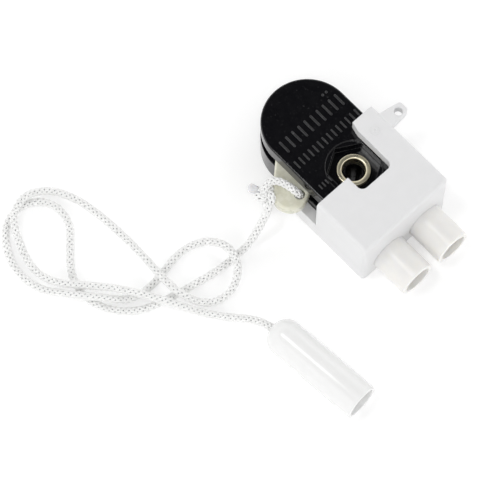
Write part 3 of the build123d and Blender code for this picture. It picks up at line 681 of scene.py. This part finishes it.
handle_section = dome(16)
handle_section += [(12.0, DOME_RADIUS + 0.03), (22.0, DOME_RADIUS + 0.06)]
handle_section += arc((HANDLE_LENGTH - RIM, MOUTH_RADIUS - RIM), RIM, 90, 0, 5)
handle_section += arc((HANDLE_LENGTH - 0.25, MOUTH_RADIUS - WALL + 0.25), 0.25, 0, -90, 3)
handle_section += [(SHOULDER, DOME_RADIUS - WALL), (SHOULDER, CORD_HOLE)]
handle_axis = (cos(HANDLE_TURN), sin(HANDLE_TURN), 0)
handle = turned("bullet_handle", handle_section, mm(*HANDLE_START), handle_axis)
handle.data.materials.append(handle_white)
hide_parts("pull_handle")
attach(handle, "housing")
print("handle triangles", triangles(handle))

# %% [markdown]
# ## The threaded nipple
# A lamp nipple is a brass tube with a thread outside and a flange below. A bump could fake the thread, but
# its crests show against the dark pocket, so they are real: the radius sinks and rises once for each pitch,
# and the place where it sinks climbs with the angle.

# %% Threaded nipple
nipple_low, nipple_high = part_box("threaded_nipple")
NIPPLE_RADIUS = 5.0
NIPPLE_BORE = 3.5
THREAD_PITCH = 1.0
THREAD_DEPTH = 0.45
FLANGE_RADIUS = 6.4
FLANGE_THICKNESS = 1.6
bottom = nipple_low.z / MM
top = nipple_high.z / MM
thread_start = bottom + FLANGE_THICKNESS + 0.3
thread_end = top - 0.4


def thread(along, radius, angle):
    """How far the thread's surface is sunk at a height and an angle. It fades out at both ends."""
    if radius < NIPPLE_RADIUS - 0.01 or not thread_start < along < thread_end:
        return 0.0
    climb = (along / THREAD_PITCH - angle / tau) % 1.0
    return -THREAD_DEPTH * (1 - abs(2 * climb - 1))


nipple_section = [(bottom, NIPPLE_BORE), (bottom, FLANGE_RADIUS), (bottom + FLANGE_THICKNESS, FLANGE_RADIUS),
                  (bottom + FLANGE_THICKNESS, NIPPLE_RADIUS)]
thread_steps = 24
for i in range(thread_steps + 1):
    nipple_section.append((thread_start + (thread_end - thread_start) * i / thread_steps, NIPPLE_RADIUS))
nipple_section += [(top - 0.3, NIPPLE_RADIUS), (top - 0.1, NIPPLE_RADIUS - 0.04),
                   (top - 0.02, NIPPLE_RADIUS - 0.16), (top, NIPPLE_RADIUS - 0.35),
                   (top, NIPPLE_BORE + 0.4), (top - 0.08, NIPPLE_BORE + 0.15), (top - 0.3, NIPPLE_BORE)]
nipple = turned("brass_nipple", nipple_section, (0, 0, 0), (0, 0, 1), steps=128, ripple=thread)
nipple.data.materials.append(turned_brass)
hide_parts("threaded_nipple")
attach(nipple, "housing")
print("nipple triangles", triangles(nipple))

# %% [markdown]
# ## The knots
# The knot at the lever is an overhand knot pulled tight. It could be placed point by point, which is slow to
# get even. Its centreline is instead the classic three-lobed closed knot, cut open at one lobe: two sines
# and two cosines set its outline and a third sine lifts it over and under itself. A second short strand
# goes over the lever, down through its eye and back underneath. Both go through the cord's braid tree.

# %% Tight overhand knot
KNOT_CENTRE = (-12.6, -23.2, 12.8)
KNOT_SCALE = 0.86
KNOT_RISE = 1.15
KNOT_TURN = radians(-43)


def overhand(centre, scale, rise, turn, start, end, steps):
    """Points on an overhand knot's centreline, in millimetres, from one angle in degrees to another."""
    points = []
    for i in range(steps + 1):
        t = radians(start + (end - start) * i / steps)
        x = (sin(t) + 2 * sin(2 * t)) * scale
        y = (cos(t) - 2 * cos(2 * t)) * scale
        z = -sin(3 * t) * rise
        points.append((centre[0] + x * cos(turn) - y * sin(turn), centre[1] + x * sin(turn) + y * cos(turn),
                       centre[2] + z))
    return points


knot_route = [(-8.9, -26.6, 10.6), (-9.1, -25.4, 11.9), (-9.9, -24.4, 12.9)]
knot_route += overhand(KNOT_CENTRE, KNOT_SCALE, KNOT_RISE, KNOT_TURN, 20, 330, 20)
knot_route += [(-14.6, -23.9, 13.2)]
knot_curve = smooth_curve("knot_route", knot_route)
lever_knot = run_tree(knot_curve, braid_tree, "lever_knot_braid", Material=cord_fibre)
bpy.data.objects.remove(knot_curve)
print("knot route points", len(knot_route))

# %% Strand through the lever's eye
lever_low, lever_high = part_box("pull_lever")
EYE = (-6.0, -15.9)
over_lever = lever_high.z / MM + LIE
under_lever = lever_low.z / MM - LIE
eye_route = [(-12.6, -24.2, 13.4), (-14.2, -22.2, over_lever), (-14.6, -19.9, over_lever + 0.2),
             (-12.6, -17.8, over_lever + 0.2), (-9.8, -16.9, over_lever + 0.1),
             (-7.2, -16.4, over_lever - 0.2),
             (*EYE, over_lever - 1.6), (*EYE, lever_low.z / MM + 2), (*EYE, under_lever + 0.6),
             (-7.8, -18.0, under_lever), (-10.4, -21.2, under_lever + 0.2),
             (-11.8, -23.2, under_lever + 1.6), (-12.4, -23.6, 11.8)]
eye_curve = smooth_curve("eye_route", eye_route)
eye_strand = run_tree(eye_curve, braid_tree, "eye_strand_braid", Material=cord_fibre)
bpy.data.objects.remove(eye_curve)
for piece in (lever_knot, eye_strand):
    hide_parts("lever_knot")
    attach(piece, "lever")
print("knot triangles", triangles(lever_knot) + triangles(eye_strand))

# %% [markdown]
# ## The melted end
# Cut cord is sealed with a flame, which leaves a short stub of glassy plastic with soft lumps. Noise would
# displace it at random, but fibres melt in bundles, so a few even lumps round the stub are closer.

# %% Melted cord end
STUB_ANGLE = radians(199)
STUB_CLIMB = 0.1
STUB_START = 1.7
stub_direction = Vector((cos(STUB_ANGLE), sin(STUB_ANGLE), STUB_CLIMB)).normalized()
stub_start = mm(*KNOT_CENTRE) + stub_direction * STUB_START * MM
stub_section = [(0.0, 0.4), (0.0, 1.2), (1.6, 1.25), (2.6, 1.3), (3.2, 1.28), (3.8, 1.0), (4.1, 0.5),
                (4.1, 0.15), (0.2, 0.15)]


def melted(along, radius, angle):
    """Small lumps where the fibres ran together."""
    return 0.07 * sin(5 * angle + 2 * along) * (radius > 0.6)


cord_end = turned("melted_cord_end", stub_section, stub_start, stub_direction, steps=40, ripple=melted)
cord_end.data.materials.append(melted_end)
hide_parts("cord_end")
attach(cord_end, "lever")
print("melted end triangles", triangles(cord_end))

# %% [markdown]
# ## The stopper knot
# Inside the handle a small knot keeps the cord from slipping out of the dome. It is the same overhand knot,
# made smaller, so no new shape is needed. It is seen only through the open mouth.

# %% Stopper knot inside the handle
stopper_low, stopper_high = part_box("stopper_knot")
stopper_centre = tuple((stopper_low + stopper_high) / 2 / MM)
stopper_route = [(22.4, -47.3, 5.7)] + overhand(stopper_centre, 0.62, 0.9, 0.0, 20, 330, 16)
stopper_curve = smooth_curve("stopper_route", stopper_route)
stopper = run_tree(stopper_curve, braid_tree, "stopper_knot_braid", Material=cord_fibre)
bpy.data.objects.remove(stopper_curve)
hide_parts("stopper_knot")
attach(stopper, "housing")
print("stopper triangles", triangles(stopper))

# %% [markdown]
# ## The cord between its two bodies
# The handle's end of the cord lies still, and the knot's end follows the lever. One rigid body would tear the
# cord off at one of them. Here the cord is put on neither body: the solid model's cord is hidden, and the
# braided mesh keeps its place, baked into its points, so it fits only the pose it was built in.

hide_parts("pull_cord")
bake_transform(cord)
print("cord declared from", [round(x, 1) for x in ROUTE[0]], "to the handle")

# %% [markdown]
# ## Finishes for the pieces that stay as they are
# The cases, housings and inner parts keep their solid shapes and only need their finish. They could be
# modelled again with rounded edges, but their sizes are already right, and the soft edges in the shading
# catch the light as a small radius does. A table pairs each piece with its finish.

# %% Assign finishes
FINISHES = {
    "lower_case": glossy_black, "case_lid": glossy_black, "terminal_base": satin_white,
    "terminal_cover": satin_white, "cable_sleeve_near": warm_white, "cable_sleeve_far": warm_white,
    "pull_lever": cream_nylon, "ratchet_rotor": rotor_nylon, "contact_bridge": sheet_copper,
    "contact_strip_near": sheet_brass, "contact_strip_far": sheet_brass, "terminal_block_near": sheet_brass,
    "terminal_block_far": sheet_brass, "pivot_pin": plated_steel, "drive_pawl": plated_steel,
    "pawl_pin": plated_steel, "return_spring": plated_steel, "detent_spring": plated_steel,
    "terminal_screws": plated_steel, "case_screws": plated_steel,
}
for name, finish in FINISHES.items():
    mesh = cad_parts[name].data
    mesh.materials.clear()
    mesh.materials.append(finish)
print("finished nodes", len(FINISHES))

# %% [markdown]
# ## Raised marks on the lid
# A moulded case carries raised marks. Here they are plain bars in rows, with nothing to read. Each bar is a
# very flat cylinder whose two halves are pushed apart, which gives it round ends, and Geometry Nodes repeat
# it along a row. An Array modifier could repeat them too, but one tree with named inputs makes all four rows.


# %% The tree for a row of bars
def build_bar_row():
    """Geometry Nodes that turn any mesh into a row of raised bars, along Y from the row's start."""
    tree = bpy.data.node_groups.new("bar_row", "GeometryNodeTree")
    tree.interface.new_socket("Geometry", in_out="INPUT", socket_type="NodeSocketGeometry")
    tree.interface.new_socket("Start", in_out="INPUT", socket_type="NodeSocketVector")
    tree.interface.new_socket("Count", in_out="INPUT", socket_type="NodeSocketInt").default_value = 6
    sizes = (("Step", 0.0024), ("Bar Length", 0.0045), ("Bar Width", 0.0006), ("Bar Height", 0.0003))
    for name, value in sizes:
        tree.interface.new_socket(name, in_out="INPUT", socket_type="NodeSocketFloat").default_value = value
    tree.interface.new_socket("Material", in_out="INPUT", socket_type="NodeSocketMaterial")
    tree.interface.new_socket("Geometry", in_out="OUTPUT", socket_type="NodeSocketGeometry")
    given = node(tree, "NodeGroupInput").outputs
    result = node(tree, "NodeGroupOutput")

    step = node(tree, "ShaderNodeCombineXYZ")
    join(tree, given["Step"], step.inputs["Y"])
    line = node(tree, "GeometryNodeMeshLine", mode="OFFSET")
    join(tree, given["Count"], line.inputs["Count"])
    join(tree, given["Start"], line.inputs["Start Location"])
    join(tree, step.outputs[0], line.inputs["Offset"])

    bar = node(tree, "GeometryNodeMeshCylinder")
    bar.inputs["Vertices"].default_value = 18
    join(tree, math_node(tree, "MULTIPLY", given["Bar Width"], 0.5), bar.inputs["Radius"])
    join(tree, given["Bar Height"], bar.inputs["Depth"])
    place = node(tree, "ShaderNodeSeparateXYZ")
    join(tree, node(tree, "GeometryNodeInputPosition").outputs[0], place.inputs[0])
    side = math_node(tree, "SIGN", place.outputs["X"])
    straight = math_node(tree, "SUBTRACT", given["Bar Length"], given["Bar Width"])
    push = math_node(tree, "MULTIPLY", straight, 0.5)
    offset = node(tree, "ShaderNodeCombineXYZ")
    join(tree, math_node(tree, "MULTIPLY", side, push), offset.inputs["X"])
    longer = node(tree, "GeometryNodeSetPosition")
    join(tree, bar.outputs["Mesh"], longer.inputs["Geometry"])
    join(tree, offset.outputs[0], longer.inputs["Offset"])

    row = node(tree, "GeometryNodeInstanceOnPoints")
    join(tree, line.outputs[0], row.inputs["Points"])
    join(tree, longer.outputs[0], row.inputs["Instance"])
    real = node(tree, "GeometryNodeRealizeInstances")
    join(tree, row.outputs[0], real.inputs["Geometry"])
    painted = node(tree, "GeometryNodeSetMaterial")
    join(tree, real.outputs[0], painted.inputs["Geometry"])
    join(tree, given["Material"], painted.inputs["Material"])
    join(tree, painted.outputs[0], result.inputs[0])
    return tree


bar_row = build_bar_row()
print("bar row tree has", len(bar_row.nodes), "nodes")

# %% Rows on the lid
LID_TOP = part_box("case_lid")[1].z
MARK_ROWS = (
    ("long_bars", (-18.3, -10.5), 10, 2.45, 4.4, 0.75),
    ("short_bars", (-11.7, -11.6), 14, 1.85, 2.9, 0.6),
    ("side_ticks", (-2.0, -11.4), 4, 1.25, 1.8, 0.5),
    ("dots", (-22.6, 9.0), 2, 1.4, 0.9, 0.9),
)


def make_bar_row(name, start, count, step, length, width):
    """One row of bars on the lid, as a plain mesh with softened edges."""
    seed_mesh = bpy.data.meshes.new(name + "_seed")
    seed = bpy.data.objects.new(name + "_seed", seed_mesh)
    bpy.context.scene.collection.objects.link(seed)
    at = Vector((start[0] * MM, start[1] * MM, LID_TOP + 0.05 * MM))
    row = run_tree(seed, bar_row, name, Start=at, Count=count, Step=step * MM, Bar_Length=length * MM,
                   Bar_Width=width * MM, Bar_Height=0.5 * MM, Material=worn_black)
    bpy.data.objects.remove(seed)
    soft = row.modifiers.new("soft_edges", "BEVEL")
    soft.width = 0.2 * MM
    soft.segments = 3
    soft.limit_method = "ANGLE"
    for face in row.data.polygons:
        face.use_smooth = True
    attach(row, "housing")
    return row


for entry in MARK_ROWS:
    made = make_bar_row(*entry)
    print(made.name, triangles(made), "triangles")

# %% [markdown]
# ## Moulding marks on the cover
# Where the plastic was fed into the mould, a small round scar is left on the white cover, and beside it a
# low ring. A bump would vanish in side light, so both are real, swept from a very small section.

# %% Gate scar and its ring
MARK_CENTRE = (-0.003, 0.0112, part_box("terminal_cover")[1].z)
scar_section = [(-0.3, 0.1), (-0.3, 0.55), (0.06, 0.55), (0.12, 0.45), (0.12, 0.3), (0.04, 0.22), (0.04, 0.1)]
scar = turned("gate_scar", scar_section, MARK_CENTRE, (0, 0, 1), steps=28)
scar.data.materials.append(satin_white)
arc_section = [(-0.3, 1.25), (-0.3, 1.55), (0.08, 1.5), (0.08, 1.3)]
arc_mark = turned("arc_mark", arc_section, MARK_CENTRE, (0, 0, 1), steps=40)
arc_mark.data.materials.append(satin_white)
for piece in (scar, arc_mark):
    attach(piece, "housing")
print("mark triangles", triangles(scar), triangles(arc_mark))

# %% [markdown]
# ## The floor and the light
# The floor is a plain white sheet that glows a little, so that it stays white under the shadows. The light
# comes from all round at a low angle, as from a white tent, and the tent is dark straight above. An even
# white sky is simpler, but it turns a glossy black top grey. With the dark opening the top stays black while
# its walls pick up the white sheet, which is how the shape of a black piece is made to read.

# %% Floor
FLOOR_REACH = 6
FLOOR_DROP = 0.0001
FLOOR_WHITE = 0.75
FLOOR_GLOW = 0.30
floor_corners = [(x * FLOOR_REACH, y * FLOOR_REACH, 0) for x, y in ((-1, -1), (1, -1), (1, 1), (-1, 1))]
floor_data = bpy.data.meshes.new("floor")
floor_data.from_pydata(floor_corners, [], [(0, 1, 2, 3)])
floor = bpy.data.objects.new("floor", floor_data)
floor.location.z = -FLOOR_DROP
bpy.context.scene.collection.objects.link(floor)
floor_material, _, floor_shader = new_material("floor_white")
floor_shader.inputs["Base Color"].default_value = (FLOOR_WHITE, FLOOR_WHITE, FLOOR_WHITE, 1.0)
floor_shader.inputs["Roughness"].default_value = 0.9
floor_shader.inputs["Specular IOR Level"].default_value = 0.0
floor_shader.inputs["Emission Color"].default_value = (1.0, 1.0, 1.0, 1.0)
floor_shader.inputs["Emission Strength"].default_value = FLOOR_GLOW
floor_data.materials.append(floor_material)
print("floor is", 2 * FLOOR_REACH, "m wide")

# %% Light tent
TENT_STOPS = ((0.0, 1.0), (0.2, 1.0), (0.40, 1.6), (0.65, 1.6), (0.82, 0.06), (1.0, 0.04))
world = bpy.data.worlds.new("light_tent")
world.use_nodes = True
bpy.context.scene.world = world
sky = world.node_tree
background = next(n for n in sky.nodes if n.type == "BACKGROUND")
background.inputs["Color"].default_value = (1.0, 1.0, 1.0, 1.0)
height = node(sky, "ShaderNodeSeparateXYZ")
join(sky, node(sky, "ShaderNodeTexCoord").outputs["Generated"], height.inputs[0])
brightness = node(sky, "ShaderNodeFloatCurve")
curve = brightness.mapping.curves[0]
brightness.mapping.clip_max_y = 2.0
brightness.mapping.use_clip = False
for index, (place, strength) in enumerate(TENT_STOPS):
    if index < 2:
        curve.points[index].location = (place, strength)
    else:
        curve.points.new(place, strength)
for stop in curve.points:
    stop.handle_type = "VECTOR"
brightness.mapping.update()
join(sky, math_node(sky, "MAXIMUM", height.outputs["Z"], 0.0), brightness.inputs["Value"])
join(sky, brightness.outputs["Value"], background.inputs["Strength"])
bpy.context.scene.view_settings.view_transform = "Standard"
print("tent stops", len(brightness.mapping.curves[0].points))


# %% Two soft lamps
LAMP_DISTANCE = 1.2


def soft_lamp(name, direction, size, power):
    """A square area light that looks at the aim point from a direction."""
    data = bpy.data.lights.new(name, "AREA")
    data.size = size
    data.energy = power
    lamp = bpy.data.objects.new(name, data)
    lamp.location = AIM + Vector(direction).normalized() * LAMP_DISTANCE
    lamp.rotation_euler = (AIM - lamp.location).to_track_quat("-Z", "Y").to_euler()
    bpy.context.scene.collection.objects.link(lamp)
    return lamp


front_lamp = soft_lamp("front_lamp", -looking, 0.3, 2.0)
side_lamp = soft_lamp("side_lamp", (-0.21, -0.24, 0.95), 0.24, 2.2)
print("lamps", front_lamp.name, side_lamp.name)
